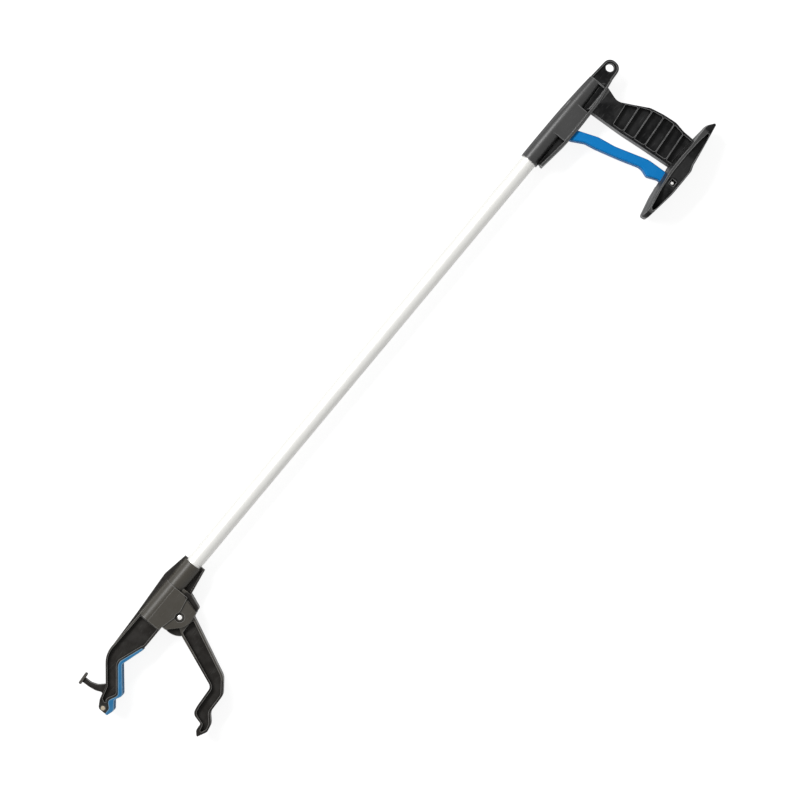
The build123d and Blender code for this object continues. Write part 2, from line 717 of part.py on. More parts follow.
def trigger():
    """Squeeze lever: a foot round its pin, a finger grip and a forked head in the barrel."""
    x = trigger_pivot_x
    y = trigger_pivot_drop
    corners = open_fork(x, y, trigger_lean, trigger_arm, trigger_fork_half) + [
        (-41.4, keel_drop - 4, 3),
        (-41.2, keel_drop + 1, 3),
        (-48.4, down(0.15), 10),
        (-50.6, down(0.27), 20),
        (-58.0, down(0.55), 40),
        (-65.0, down(0.78), 12),
        (-61.8, down(0.89), 4),
        (x + foot_radius + 0.4, down(1.0), 6),
        (x + foot_radius, y + foot_radius, foot_radius),
        (x - foot_radius, y + foot_radius, foot_radius),
        (x - foot_radius, down(1.03), 10),
        (-75.6, down(0.79), 25),
        (-64.6, down(0.42), 40),
        (-61.2, down(0.22), 16),
        (-53.2, keel_drop, 6),
    ]
    lever = slab(corners, trigger_width, 2.0)
    half_neck = trigger_neck_width / 2
    widths = [
        (-2 * fork_reach - trigger_fork_half, half_neck),
        (trigger_neck_drop, half_neck),
        (trigger_neck_drop + trigger_neck_length, trigger_width / 2),
        (y + 2 * foot_radius, trigger_width / 2),
    ]
    profile = [(height, half, 0) for height, half in widths]
    profile += [(height, -half, 0) for height, half in reversed(widths)]
    across = Plane(origin=(0, 0, 0), x_dir=(0, 1, 0), z_dir=(1, 0, 0)) * outline(profile)
    lever &= extrude(across, amount=trigger_pivot_drop, both=True)
    shortest_arm = trigger_pivot_drop / math.cos(math.radians(squeezed_lean))
    slot, gap = fork_cuts(x, y, trigger_lean, shortest_arm, trigger_arm)
    lever -= slot
    lever -= gap
    lever -= pin_at(x, y, trigger_pin_radius + running_gap, through)
    return lever


def trigger_pivot_pin():
    """Plain pin, pressed into the flange on both sides of the trigger's foot."""
    pin = pin_at(trigger_pivot_x, trigger_pivot_drop, trigger_pin_radius, 2 * (pin_seat + 1.2))
    return fillet(pin.edges().filter_by(GeomType.CIRCLE), 0.5)


# ---------------------------------------------------------------- the pieces, in their places
at_handle = Pos(-exposed_tube_length, 0, 0)
spring_seat = -exposed_tube_length - handle_socket_depth + spring_inset
spring_start = spring_seat + running_gap
collar_start = spring_start + spring_length
trigger_link = trigger_link_x - exposed_tube_length

pieces["jaw_head"] = jaw_head()
pieces["finger_liner"] = finger_liner()
pieces["tip_magnet"] = tip_magnet()
pieces["moving_jaw"] = moving_jaw()
pieces["jaw_pivot_pin"] = jaw_pivot_pin()
jaw_clip_seat = jaw_clip_depth - ear_width / 2
pieces["jaw_pin_clip"] = push_on_clip(jaw_pivot_x, jaw_pivot_drop, jaw_clip_seat, jaw_pin_radius)

tube = bar(-exposed_tube_length - handle_socket_depth, jaw_socket_depth, tube_radius)
tube -= bar(-exposed_tube_length - 2 * handle_socket_depth, 2 * jaw_socket_depth, tube_bore)
pieces["main_tube"] = chamfer(tube.edges(), 0.2)

pieces["rod_end_jaw"] = rod_end(jaw_link_x, -1, rod_end_hub)
pieces["rod_end_handle"] = rod_end(trigger_link, 1, rod_end_hub)
pieces["pull_rod"] = bar(trigger_link + hub_offset + 1, jaw_link_x - hub_offset - 1, rod_radius)
jaw_link_length = jaw_width - 4 * side_gap
pieces["jaw_link_pin"] = chamfer(pin_at(jaw_link_x, 0, link_pin_radius, jaw_link_length).edges(), 0.3)
trigger_link_length = trigger_neck_width - 2 * side_gap
trigger_link_pin = pin_at(trigger_link, 0, link_pin_radius, trigger_link_length)
pieces["trigger_link_pin"] = chamfer(trigger_link_pin.edges(), 0.3)

pieces["rod_guide_handle"] = rod_guide(spring_seat - guide_length, guide_length)
pieces["rod_guide_middle"] = rod_guide(-exposed_tube_length / 2, guide_length)
pieces["rod_guide_jaw"] = rod_guide(4.0, guide_length)
pieces["return_spring"] = compression_spring(spring_start, spring_length)
collar_end = collar_start + collar_length
rod_hole = bar(collar_start - 1, collar_end + 2, rod_radius + press_gap)
pieces["spring_collar"] = bar(collar_start, collar_end, rod_passage) - rod_hole
pieces["collar_clip"] = bar(collar_end, collar_end + clip_thickness, tongue_height / 2) - rod_hole

pieces["handle_frame"] = at_handle * handle_frame()
pieces["trigger"] = at_handle * trigger()
pieces["trigger_pivot_pin"] = at_handle * trigger_pivot_pin()
clip = push_on_clip(trigger_pivot_x, trigger_pivot_drop, -pin_seat, trigger_pin_radius)
pieces["trigger_pin_clip"] = at_handle * clip

# ---------------------------------------------------------------- the finished frame
box = Compound(children=[Part(piece.wrapped) for piece in pieces.values()]).bounding_box()
to_row = Pos(-(box.min.X + box.max.X) / 2, -(box.min.Y + box.max.Y) / 2, -box.min.Z)
os.makedirs("parts", exist_ok=True)
for name, piece in pieces.items():
    export_step(to_row * piece, f"parts/{name}.step")

shift = to_row.position
print("shift", shift.X, shift.Y, shift.Z)
print("rod travel", rod_travel, "trigger squeeze", trigger_squeeze)
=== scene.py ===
# %% [markdown]
# # A reaching aid, finished in Blender
# The tool has a pistol grip, a straight silver tube, and a pair of jaws that the trigger closes.
# Its solids were made in CAD and come in as a fixed frame. They already have their true sizes, so
# this lesson is about surfaces. Each finish gets its own small recipe, and the few turned, stamped
# and wound steel parts, too fine for the CAD, are worked out here with numpy.

import json
import math

import bpy
import numpy as np
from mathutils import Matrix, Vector

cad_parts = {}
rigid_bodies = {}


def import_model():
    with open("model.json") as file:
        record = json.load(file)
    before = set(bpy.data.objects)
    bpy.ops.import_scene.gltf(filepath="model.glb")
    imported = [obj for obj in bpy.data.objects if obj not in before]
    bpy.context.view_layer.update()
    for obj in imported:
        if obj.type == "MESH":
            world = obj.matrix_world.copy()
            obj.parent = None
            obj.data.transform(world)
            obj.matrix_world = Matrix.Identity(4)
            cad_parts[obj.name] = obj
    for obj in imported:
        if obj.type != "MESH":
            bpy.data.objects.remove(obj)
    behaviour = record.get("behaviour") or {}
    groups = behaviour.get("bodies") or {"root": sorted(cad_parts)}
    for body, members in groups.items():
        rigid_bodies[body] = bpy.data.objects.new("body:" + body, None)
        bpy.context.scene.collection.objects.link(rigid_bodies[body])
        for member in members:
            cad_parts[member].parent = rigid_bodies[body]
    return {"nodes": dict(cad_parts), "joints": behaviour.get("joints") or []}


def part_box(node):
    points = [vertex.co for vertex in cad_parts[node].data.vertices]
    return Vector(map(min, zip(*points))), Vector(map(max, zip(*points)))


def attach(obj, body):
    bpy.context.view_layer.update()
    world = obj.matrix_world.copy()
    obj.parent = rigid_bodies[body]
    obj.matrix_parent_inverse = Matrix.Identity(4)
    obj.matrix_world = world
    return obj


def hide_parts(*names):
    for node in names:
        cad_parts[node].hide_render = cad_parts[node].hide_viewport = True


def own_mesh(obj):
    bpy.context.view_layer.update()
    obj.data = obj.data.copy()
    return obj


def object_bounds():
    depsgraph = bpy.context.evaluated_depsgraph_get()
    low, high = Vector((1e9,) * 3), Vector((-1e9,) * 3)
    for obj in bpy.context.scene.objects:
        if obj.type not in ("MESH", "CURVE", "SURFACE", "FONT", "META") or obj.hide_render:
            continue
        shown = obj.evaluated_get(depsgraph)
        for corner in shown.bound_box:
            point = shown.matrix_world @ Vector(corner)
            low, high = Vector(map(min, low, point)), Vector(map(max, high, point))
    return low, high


MM = 0.001
for leftover in list(bpy.data.objects):
    bpy.data.objects.remove(leftover)
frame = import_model()
cad_low, cad_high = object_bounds()
node = frame["nodes"]
joints = {joint["name"]: joint for joint in frame["joints"]}
print("CAD box", [round(v / MM, 1) for v in cad_high - cad_low], "mm")

# %% [markdown]
# ## Where things are
# Nothing is measured by eye. The pivots come from the joints in the record, and the tube's axis
# and the middle plane of the tool come from the box of the tube. The tool lies on its side, so
# the middle plane is level, and every moulding is a mirror image of itself across it. Typed
# coordinates would do for one tool, but patterns that start from these places follow the pivots
# when the tube is made longer.

# %% Reference places
tube_low, tube_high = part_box("main_tube")
tube_axis_y = (tube_low.y + tube_high.y) / 2
middle_z = (tube_low.z + tube_high.z) / 2
jaw_pivot = Vector(joints["jaw_close"]["pos_m"])
trigger_pivot = Vector(joints["trigger_squeeze"]["pos_m"])
print("middle plane", round(middle_z / MM, 2), "mm above the floor")

# %% [markdown]
# ## Small helpers for node trees
# Every finish below is a chain of nodes. Blender's own calls take several lines for one node and
# its links, which hides the idea. These helpers add a node or feed a socket in one line, and
# calculate with sockets as if they were numbers. A smooth step turns any value into a mask from
# 0 to 1, so most masks end in one.


# %% Node helpers
def add_node(tree, kind, settings=None, values=None):
    """A node of the given kind. settings are its attributes, values its input sockets."""
    made = tree.nodes.new(kind)
    for name, value in (settings or {}).items():
        setattr(made, name, value)
    for name, value in (values or {}).items():
        made.inputs[name].default_value = value
    return made


def join(tree, source, target):
    """Feeds a socket from another socket, or gives it a plain number."""
    if isinstance(source, (int, float)):
        target.default_value = source
    else:
        tree.links.new(source, target)


def maths(tree, operation, *operands, clamp=False):
    """A Math node; each operand is a number or a socket. Its result socket is returned."""
    made = add_node(tree, "ShaderNodeMath", {"operation": operation, "use_clamp": clamp})
    for operand, socket in zip(operands, made.inputs):
        join(tree, operand, socket)
    return made.outputs[0]


def times(tree, first, second, clamp=False):
    """first * second."""
    return maths(tree, "MULTIPLY", first, second, clamp=clamp)


def plus(tree, first, second):
    """first + second."""
    return maths(tree, "ADD", first, second)


def minus(tree, first, second, clamp=False):
    """first - second."""
    return maths(tree, "SUBTRACT", first, second, clamp=clamp)


def rise(tree, value, low, high):
    """A smooth step up: 0 below low, 1 above high."""
    made = add_node(tree, "ShaderNodeMapRange", {"interpolation_type": "SMOOTHSTEP"})
    join(tree, value, made.inputs["Value"])
    join(tree, low, made.inputs["From Min"])
    join(tree, high, made.inputs["From Max"])
    return made.outputs["Result"]


def fall(tree, value, low, high):
    """A smooth step down: 1 below low, 0 above high."""
    return minus(tree, 1.0, rise(tree, value, low, high))


# %% [markdown]
# ## Reading the surface
# A pattern has to know where it is. Object coordinates are the true place on the part in metres,
# so a size in a pattern is a size on the tool, and nothing slides when the part moves. The other
# things worth knowing at a point are its normal, the normal that a rounded edge would have, and
# how much of the sky it sees past its own part.


# %% Surface helpers
def object_place(tree):
    """The place on the object, in metres."""
    return add_node(tree, "ShaderNodeTexCoord").outputs["Object"]


def surface_normal(tree):
    """The way the surface faces."""
    return add_node(tree, "ShaderNodeNewGeometry").outputs["Normal"]


def split(tree, vector):
    """The X, Y and Z of a vector, by name."""
    made = add_node(tree, "ShaderNodeSeparateXYZ")
    join(tree, vector, made.inputs[0])
    return made.outputs


def bevelled_normal(tree, radius, samples):
    """The normal that the surface would have with its edges rounded to a radius."""
    made = add_node(tree, "ShaderNodeBevel", {"samples": samples})
    join(tree, radius, made.inputs["Radius"])
    return made.outputs["Normal"]


def open_sky(tree, reach):
    """The share of the sky that the part itself leaves open, as far as reach."""
    made = add_node(tree, "ShaderNodeAmbientOcclusion", {"samples": 8, "only_local": True})
    join(tree, reach, made.inputs["Distance"])
    return made.outputs["AO"]


def noise(tree, place, per_metre, detail, roughness=0.5):
    """Soft noise with so many bumps to the metre."""
    made = add_node(tree, "ShaderNodeTexNoise", None, {"Detail": detail, "Roughness": roughness})
    join(tree, place, made.inputs["Vector"])
    join(tree, per_metre, made.inputs["Scale"])
    return made.outputs["Fac"]


def streaks(tree, place, per_metre, detail):
    """Noise with a number of bumps to the metre for each axis, so that it can be drawn out."""
    stretched = add_node(tree, "ShaderNodeMapping", None, {"Scale": per_metre})
    join(tree, place, stretched.inputs["Vector"])
    return noise(tree, stretched.outputs["Vector"], 1.0, detail)


# %% [markdown]
# ## Effects are groups
# An effect that several finishes share is a node group: it is built once, and each material
# places it with its own values. It has named inputs and gives back only masks and normals. The
# Principled shader isn't in it, because gloss and colour belong to the material.

# %% Group helper
MASK = "NodeSocketFloat"
NORMAL = "NodeSocketVector"


def new_group(name, inputs, outputs):
    """An empty node group with inputs, {name: usual value}, and outputs, {name: kind}."""
    group = bpy.data.node_groups.new(name, "ShaderNodeTree")
    for label, usual in inputs.items():
        socket = group.interface.new_socket(label, in_out="INPUT", socket_type=MASK)
        socket.default_value = usual
    for label, kind in outputs.items():
        group.interface.new_socket(label, in_out="OUTPUT", socket_type=kind)
    return group, group.nodes.new("NodeGroupInput"), group.nodes.new("NodeGroupOutput")


def describe(name, tree):
    """Says how large a group or a material has become."""
    print(name, "has", len(tree.nodes), "nodes")


# %% [markdown]
# ## Soft edges: wear and painted highlights
# A moulded edge is never perfectly sharp, and hands polish it first. On dark plastic every rim
# reads as a thin light line, and the light colour along the rims is partly that wear and partly a
# painted highlight, for the light that a rounded rim catches. Real fillets on every rib would make
# a heavy mesh, and a painted mask would only fit one shape. The Bevel node instead gives the normal
# that a rounded edge would have. A second, wider Bevel differs from the real normal wherever an
# edge is near, and that difference is the mask. Inside corners turn the normal too, but nothing
# rubs them: Ambient Occlusion finds them, takes them out of the mask and gives a second one, the
# crease mask. It paints a dark colour that is partly dust and partly painted shade, for the shade
# that falls in a corner. A little noise breaks the edge mask up, because wear is never even.

# %% Edge group
EDGE_TURN = (0.002, 0.07)  # how far the normal turns where the mask starts and is full
EDGE_SKY = (0.62, 0.92)  # share of open sky where the edge mask (wear and painted highlight) starts and is full
CREASE_SKY = (0.4, 0.85)  # share of open sky where the crease mask (dust and painted shade) is full and where it ends
WEAR_PATCHES = 210.0  # to the metre
PATCH_STEP = (0.3, 0.62)  # noise at which wear is lost, and at which it is whole


def make_edge_wear_and_painted_light():
    """Edge = smooth step of (1 - wide bevel normal . surface normal), times a smooth step of the
    open sky, times 1 - Patchiness * (falling step of a noise). Crease = falling step of the sky
    that is open within Crease Reach."""
    group, given, result = new_group(
        "edge_wear_and_painted_light",
        {"Radius": 0.5 * MM, "Reach": 0.9 * MM, "Crease Reach": 2.5 * MM, "Patchiness": 0.4},
        {"Edge": MASK, "Crease": MASK, "Rounded Normal": NORMAL},
    )
    facing = add_node(group, "ShaderNodeVectorMath", {"operation": "DOT_PRODUCT"})
    join(group, bevelled_normal(group, given.outputs["Reach"], samples=8), facing.inputs[0])
    join(group, surface_normal(group), facing.inputs[1])
    turned = minus(group, 1.0, facing.outputs["Value"])
    sky = open_sky(group, given.outputs["Crease Reach"])
    mask = times(group, rise(group, turned, *EDGE_TURN), rise(group, sky, *EDGE_SKY))
    patches = noise(group, object_place(group), WEAR_PATCHES, detail=3.0)
    lost = times(group, fall(group, patches, *PATCH_STEP), given.outputs["Patchiness"])
    kept = minus(group, 1.0, lost, clamp=True)
    rounded = bevelled_normal(group, given.outputs["Radius"], samples=6)
    # Edge lightens the colour as wear and as a painted highlight; Crease darkens it as dust and as
    # painted shade.
    join(group, times(group, mask, kept), result.inputs["Edge"])
    join(group, fall(group, sky, *CREASE_SKY), result.inputs["Crease"])
    join(group, rounded, result.inputs["Rounded Normal"])
    return group


edge_wear_and_painted_light = make_edge_wear_and_painted_light()
describe("edge_wear_and_painted_light", edge_wear_and_painted_light)

# %% [markdown]
# ## Spark-eroded grain
# Tool steel for plastic mouldings is spark eroded, which leaves a fine pebble all over the
# part. A scanned grain would need an image and a way to wrap it round every rib, and noise in
# object coordinates needs neither and never repeats. Two noises make it: one at the size of the
# pebbles, about 0.4 mm, and one nearly thirty times coarser that makes some areas a little
# duller, as real flow of the plastic does.

# %% Grain group
MOTTLE_COARSENESS = 0.035  # bumps of the mottle for each pebble
MOTTLE_STEP = (0.32, 0.68)


def make_mould_grain():
    """Height = fine noise; Mottle = coarse noise, stretched to fill 0 to 1."""
    group, given, result = new_group(
        "mould_grain", {"Pebble Size": 0.4 * MM}, {"Height": MASK, "Mottle": MASK}
    )
    place = object_place(group)
    fine = maths(group, "DIVIDE", 1.0, given.outputs["Pebble Size"])
    coarse = times(group, fine, MOTTLE_COARSENESS)
    pebbles = noise(group, place, fine, detail=2.0, roughness=0.6)
    clouds = noise(group, place, coarse, detail=4.0, roughness=0.55)
    join(group, pebbles, result.inputs["Height"])
    join(group, rise(group, clouds, *MOTTLE_STEP), result.inputs["Mottle"])
    return group


mould_grain = make_mould_grain()
describe("mould_grain", mould_grain)

# %% [markdown]
# ## The parting line
# The two halves of each mould meet on the middle plane, and leave a hair-thin ridge all round
# the rim of the part. As geometry it would be a strip thinner than anything else on the tool, so
# it is a mask that feeds the bump. It only exists where the surface faces sideways, so the mask
# multiplies "close to the plane" by "not facing up or down".

# %% Parting line group
RIDGE_STEP = (0.3, 1.0)  # in half widths


def make_parting_line():
    """Ridge = (falling step of |z - plane| / half width) * (1 - |normal z|)."""
    group, given, result = new_group(
        "parting_line", {"Plane Height": middle_z, "Half Width": 0.22 * MM}, {"Ridge": MASK}
    )
    height = split(group, object_place(group))["Z"]
    away = maths(group, "ABSOLUTE", minus(group, height, given.outputs["Plane Height"]))
    distance = maths(group, "DIVIDE", away, given.outputs["Half Width"])
    upwards = maths(group, "ABSOLUTE", split(group, surface_normal(group))["Z"])
    sideways = minus(group, 1.0, upwards, clamp=True)
    ridge = times(group, fall(group, distance, *RIDGE_STEP), sideways)
    join(group, ridge, result.inputs["Ridge"])
    return group


parting_line = make_parting_line()
describe("parting_line", parting_line)

# %% [markdown]
# ## Deep pockets with painted shade
# These mouldings are cored out from both sides, so their thick faces stand far from the middle
# plane and the pocket floors lie close to it. The outer faces get a greyer colour and a smooth
# skin. The pockets get a deeper black, which is painted shade, for the shade that falls in a deep
# pocket, and they keep the coarse texture of the mould. Two materials with a border picked face by
# face would have a hard edge and would break when the shape changes. How far a point is from the
# middle plane tells the two apart softly and by itself. The outer walls of a moulding stand upright
# like a pocket's walls, but they have nothing opposite, and Ambient Occlusion tells that.

# %% Outer face group
WALL_SLOPE = (0.35, 0.75)  # |normal z| of a wall, and of a face that isn't one
WALL_SKY = (0.74, 0.94)  # share of open sky of a pocket's wall, and of an outer wall
WALL_OUTER_SHARE = 0.5  # how much an outer wall counts as an outer face, which has no painted shade


def make_outer_faces():
    """Outer = the larger of a smooth step of |z - plane|, from Level to Level + Softness, and an
    upright wall that sees open sky as far as Wall Reach, which counts half as much. Where Outer is 0,
    the material paints shade."""
    group, given, result = new_group(
        "outer_faces",
        {"Plane Height": middle_z, "Level": 4.0 * MM, "Softness": 0.8 * MM, "Wall Reach": 12.0 * MM},
        {"Outer": MASK},
    )
    height = split(group, object_place(group))["Z"]
    away = maths(group, "ABSOLUTE", minus(group, height, given.outputs["Plane Height"]))
    past_level = minus(group, away, given.outputs["Level"])
    above = maths(group, "DIVIDE", past_level, given.outputs["Softness"])
    upwards = maths(group, "ABSOLUTE", split(group, surface_normal(group))["Z"])
    sky = open_sky(group, given.outputs["Wall Reach"])
    wall = times(group, fall(group, upwards, *WALL_SLOPE), rise(group, sky, *WALL_SKY))
    outer_wall = times(group, wall, WALL_OUTER_SHARE)
    outer = maths(group, "MAXIMUM", rise(group, above, 0.0, 1.0), outer_wall)
    join(group, outer, result.inputs["Outer"])
    return group


outer_faces = make_outer_faces()
describe("outer_faces", outer_faces)

# %% [markdown]
# ## Zones
# How far from the middle plane an outer face lies depends on the place: a finger is thinner than
# the head that it grows from. A zone is everything past a line across the tool, and each zone has
# a distance of its own. Most borders are straight, and a few follow a curved rim, so the line may
# bend. A line costs a few Math nodes, where a painted map would cost an image.

# %% Zone group
ZONE_BORDER = 0.4 * MM  # half the width of the soft border


def make_zone():
    """Zone = 1 past the line Slope X * x + Slope Y * y = Start + Bend * (x - Bend Place)^2."""
    group, given, result = new_group(
        "zone",
        {"Slope X": 0.0, "Slope Y": 0.0, "Start": 0.0, "Bend": 0.0, "Bend Place": 0.0},
        {"Zone": MASK},
    )
    place = split(group, object_place(group))
    sloped_x = times(group, place["X"], given.outputs["Slope X"])
    sloped_y = times(group, place["Y"], given.outputs["Slope Y"])
    aside = minus(group, place["X"], given.outputs["Bend Place"])
    bent = times(group, times(group, aside, aside), given.outputs["Bend"])
    line = plus(group, given.outputs["Start"], bent)
    past = minus(group, plus(group, sloped_x, sloped_y), line)
    join(group, rise(group, past, -ZONE_BORDER, ZONE_BORDER), result.inputs["Zone"])
    return group


zone = make_zone()
describe("zone", zone)

# %% [markdown]
# ## Painted shade round a pin
# The pin's end sits in a round recess, and the plastic in it gets a darker colour and less shine.
# The darker colour is painted shade, for the shade that falls in the recess. Only the distance from
# the pin's axis matters, and the axis comes from the joint, so the ring always lies where the pin is.

# %% Pin recess shade group
RECESS_SHADE_STEP = (0.92, 1.12)  # in shares of the reach


def make_pin_recess_shade():
    """Recess Shade = Strength within Reach of the vertical line through (Pin X, Pin Y), 0 past it:
    painted shade.
    """
    group, given, result = new_group(
        "pin_recess_shade", {"Pin X": 0.0, "Pin Y": 0.0, "Reach": 4.7 * MM, "Strength": 1.0}, {"Recess Shade": MASK}
    )
    place = split(group, object_place(group))
    across = minus(group, place["X"], given.outputs["Pin X"])
    along = minus(group, place["Y"], given.outputs["Pin Y"])
    squares = plus(group, times(group, across, across), times(group, along, along))
    away = maths(group, "DIVIDE", maths(group, "SQRT", squares), given.outputs["Reach"])
    inside = fall(group, away, *RECESS_SHADE_STEP)
    join(group, times(group, inside, given.outputs["Strength"]), result.inputs["Recess Shade"])
    return group


pin_recess_shade = make_pin_recess_shade()
describe("pin_recess_shade", pin_recess_shade)

# %% [markdown]
# ## Marks of handling
# Skin grease and small scuffs are on everything that is used. A large soft noise gives the
# smudges, which change the gloss. A fine noise, drawn out along the tool, gives faint scuffs that
# all run one way, because the tool is slid in and out of the same places. Two noises make both,
# where drawn strokes would have to be placed by hand.

# %% Handling group
SMUDGES_PER_METRE = 38.0
SMUDGE_STEP = (0.42, 0.7)
SCUFFS_PER_METRE = (90.0, 1300.0, 1300.0)  # along X they are about 14 times longer than wide
SCUFF_STEP = (0.66, 0.72)


def make_handling():
    """Smudge = soft noise of about 25 mm; Scuff = the peaks of a noise drawn out along X."""
    group, _, result = new_group("handling", {}, {"Smudge": MASK, "Scuff": MASK})
    place = object_place(group)
    soft = noise(group, place, SMUDGES_PER_METRE, detail=5.0)
    thin = streaks(group, place, SCUFFS_PER_METRE, detail=2.0)
    join(group, rise(group, soft, *SMUDGE_STEP), result.inputs["Smudge"])
    join(group, rise(group, thin, *SCUFF_STEP), result.inputs["Scuff"])
    return group


handling = make_handling()
describe("handling", handling)

# %% [markdown]
# ## Helpers for materials
# A material starts as a Principled shader and nothing else. Groups are placed in it with their
# values, colours are laid over each other with masks, and small heights become a bump. The bump
# starts from the rounded normal where there is one, so that grain and soft edges add up.

# %% Material helpers
A_COLOUR, B_COLOUR, MIXED_COLOUR = 6, 7, 2  # the colour sockets of a Mix node


def place_group(tree, group, **values):
    """A group node in a material, with its own values."""
    made = add_node(tree, "ShaderNodeGroup", {"node_tree": group})
    for name, value in values.items():
        made.inputs[name.replace("_", " ").title()].default_value = value
    return made


def mixed_colour(tree, mask, plain, changed):
    """A colour that goes from plain to changed with the mask; plain may be a socket."""
    made = add_node(tree, "ShaderNodeMix", {"data_type": "RGBA"})
    join(tree, mask, made.inputs["Factor"])
    if isinstance(plain, tuple):
        made.inputs[A_COLOUR].default_value = (*plain, 1.0)
    else:
        join(tree, plain, made.inputs[A_COLOUR])
    made.inputs[B_COLOUR].default_value = (*changed, 1.0)
    return made.outputs[MIXED_COLOUR]


def varied(tree, value, *changes):
    """A value, plus a share of each mask; changes are pairs of a mask and its share."""
    for mask, share in changes:
        value = plus(tree, times(tree, mask, share), value)
    return value


def bumped_normal(tree, height, relief, normal=None):
    """The normal of a relief so many metres deep, on top of another normal."""
    made = add_node(tree, "ShaderNodeBump", None, {"Strength": 1.0, "Distance": relief})
    join(tree, height, made.inputs["Height"])
    if normal is not None:
        join(tree, normal, made.inputs["Normal"])
    return made.outputs["Normal"]


def new_material(name):
    """A material with only a Principled shader and its output."""
    material = bpy.data.materials.new(name)
    material.use_nodes = True
    return material, material.node_tree, material.node_tree.nodes["Principled BSDF"]


# %% [markdown]
# ## Where plastic has no painted shade
# The outer faces of a moulding get no painted shade, and its pockets and the recess round a pin's end
# do.
# The outer face group needs one distance from the middle plane, so the zones are laid over each
# other like paint: each takes the distance so far to its own inside its border. Switches between
# whole materials would do the same with a hard edge.


# %% Faces without painted shade
def unshaded_faces(tree, levels, pin):
    """1 on an outer face, and 0 in a pocket or in the recess round a pin's end, which get painted
    shade. The level goes from one distance to the next with each zone's mask."""
    level, *zones = levels
    for distance, past in zones:
        mask = place_group(tree, zone, **past).outputs["Zone"]
        level = plus(tree, times(tree, mask, minus(tree, distance, level)), level)
    depth = place_group(tree, outer_faces, plane_height=middle_z)
    join(tree, level, depth.inputs["Level"])
    if pin is None:
        return depth.outputs["Outer"]
    (pin_x, pin_y), reach, strength = pin
    recess_shade = place_group(tree, pin_recess_shade, pin_x=pin_x, pin_y=pin_y, reach=reach, strength=strength)
    return minus(tree, depth.outputs["Outer"], recess_shade.outputs["Recess Shade"], clamp=True)


# %% [markdown]
# ## The colour and the skin of plastic
# Moulded plastic has two kinds of gloss at once: a dull body that scatters light, and on wiped
# faces a smooth skin. One roughness can't be both, so the body is the Principled base and the
# skin is its coat, and the masks say how much skin is left. The colour is built up in layers: the
# plastic, darker in its pockets as painted shade, its mottle, scuffs, edges made lighter partly by
# wear and partly as a painted highlight, and creases made darker partly by dust and partly as
# painted shade.

# %% Plastic colour and skin
MOTTLE_TINT = 0.1  # shares of the edge colour in the mottle and in the scuffs
SCUFF_TINT = 0.2
# creases get a dark colour that is partly dust and partly painted shade
DUST_AND_SHADE_COVER = 0.8
DUST_AND_SHADE_TONE = 0.25  # of the pocket's colour
EDGE_SKIN = 0.6  # share of the skin that polishing leaves on an edge
WHOLE_SKIN = 1.1  # before the mottle and the pebbles take their shares
MOTTLE_LOSS = 0.2
PEBBLE_LOSS = 0.3


def plastic_colour(tree, unshaded, edges, grain, marks, face, pocket, edge):
    """Pocket or face colour, then mottle, scuffs, light edges and dark creases over it. The pocket
    colour is painted shade, the light edges are wear and a painted highlight, and the dark creases
    are dust and painted shade.
    """
    body = mixed_colour(tree, unshaded, pocket, face)
    mottled = mixed_colour(tree, times(tree, grain.outputs["Mottle"], MOTTLE_TINT), body, edge)
    scuffed = mixed_colour(tree, times(tree, marks.outputs["Scuff"], SCUFF_TINT), mottled, edge)
    # the edge colour is partly wear and partly a painted highlight
    edge_lightened = mixed_colour(tree, edges.outputs["Edge"], scuffed, edge)
    dust_and_shade = tuple(DUST_AND_SHADE_TONE * channel for channel in pocket)
    return mixed_colour(tree, times(tree, edges.outputs["Crease"], DUST_AND_SHADE_COVER), edge_lightened, dust_and_shade)


def plastic_skin(tree, unshaded, edges, grain, shine):
    """Skin = shine * the larger of clean and a share of Edge, times 1 - Crease, less what the
    mottle and the pebbles take."""
    skin = maths(tree, "MAXIMUM", unshaded, times(tree, edges.outputs["Edge"], EDGE_SKIN))
    skin = times(tree, skin, minus(tree, 1.0, edges.outputs["Crease"]))
    left = minus(tree, WHOLE_SKIN, times(tree, grain.outputs["Mottle"], MOTTLE_LOSS))
    left = minus(tree, left, times(tree, grain.outputs["Height"], PEBBLE_LOSS))
    return times(tree, times(tree, skin, left), shine, clamp=True)


# %% [markdown]
# ## Moulded plastic
# The grip, the jaws and the trigger are the same kind of surface in different colours. Three
# materials could be drawn up one by one, but then a better edge would have to be made three
# times. One recipe takes the colours, how light the edges get from wear and painted highlight, and
# the gloss. The pocket colour is painted shade.

# %% Plastic recipe
BODY_SPECULAR = 0.1
EDGE_RADIUS = 0.5 * MM
PATCHINESS = 0.35
MOTTLE_ROUGHNESS = 0.08
SMUDGE_ROUGHNESS = 0.08
RIDGE_HEIGHT = 3.0  # of the parting line, in pebbles


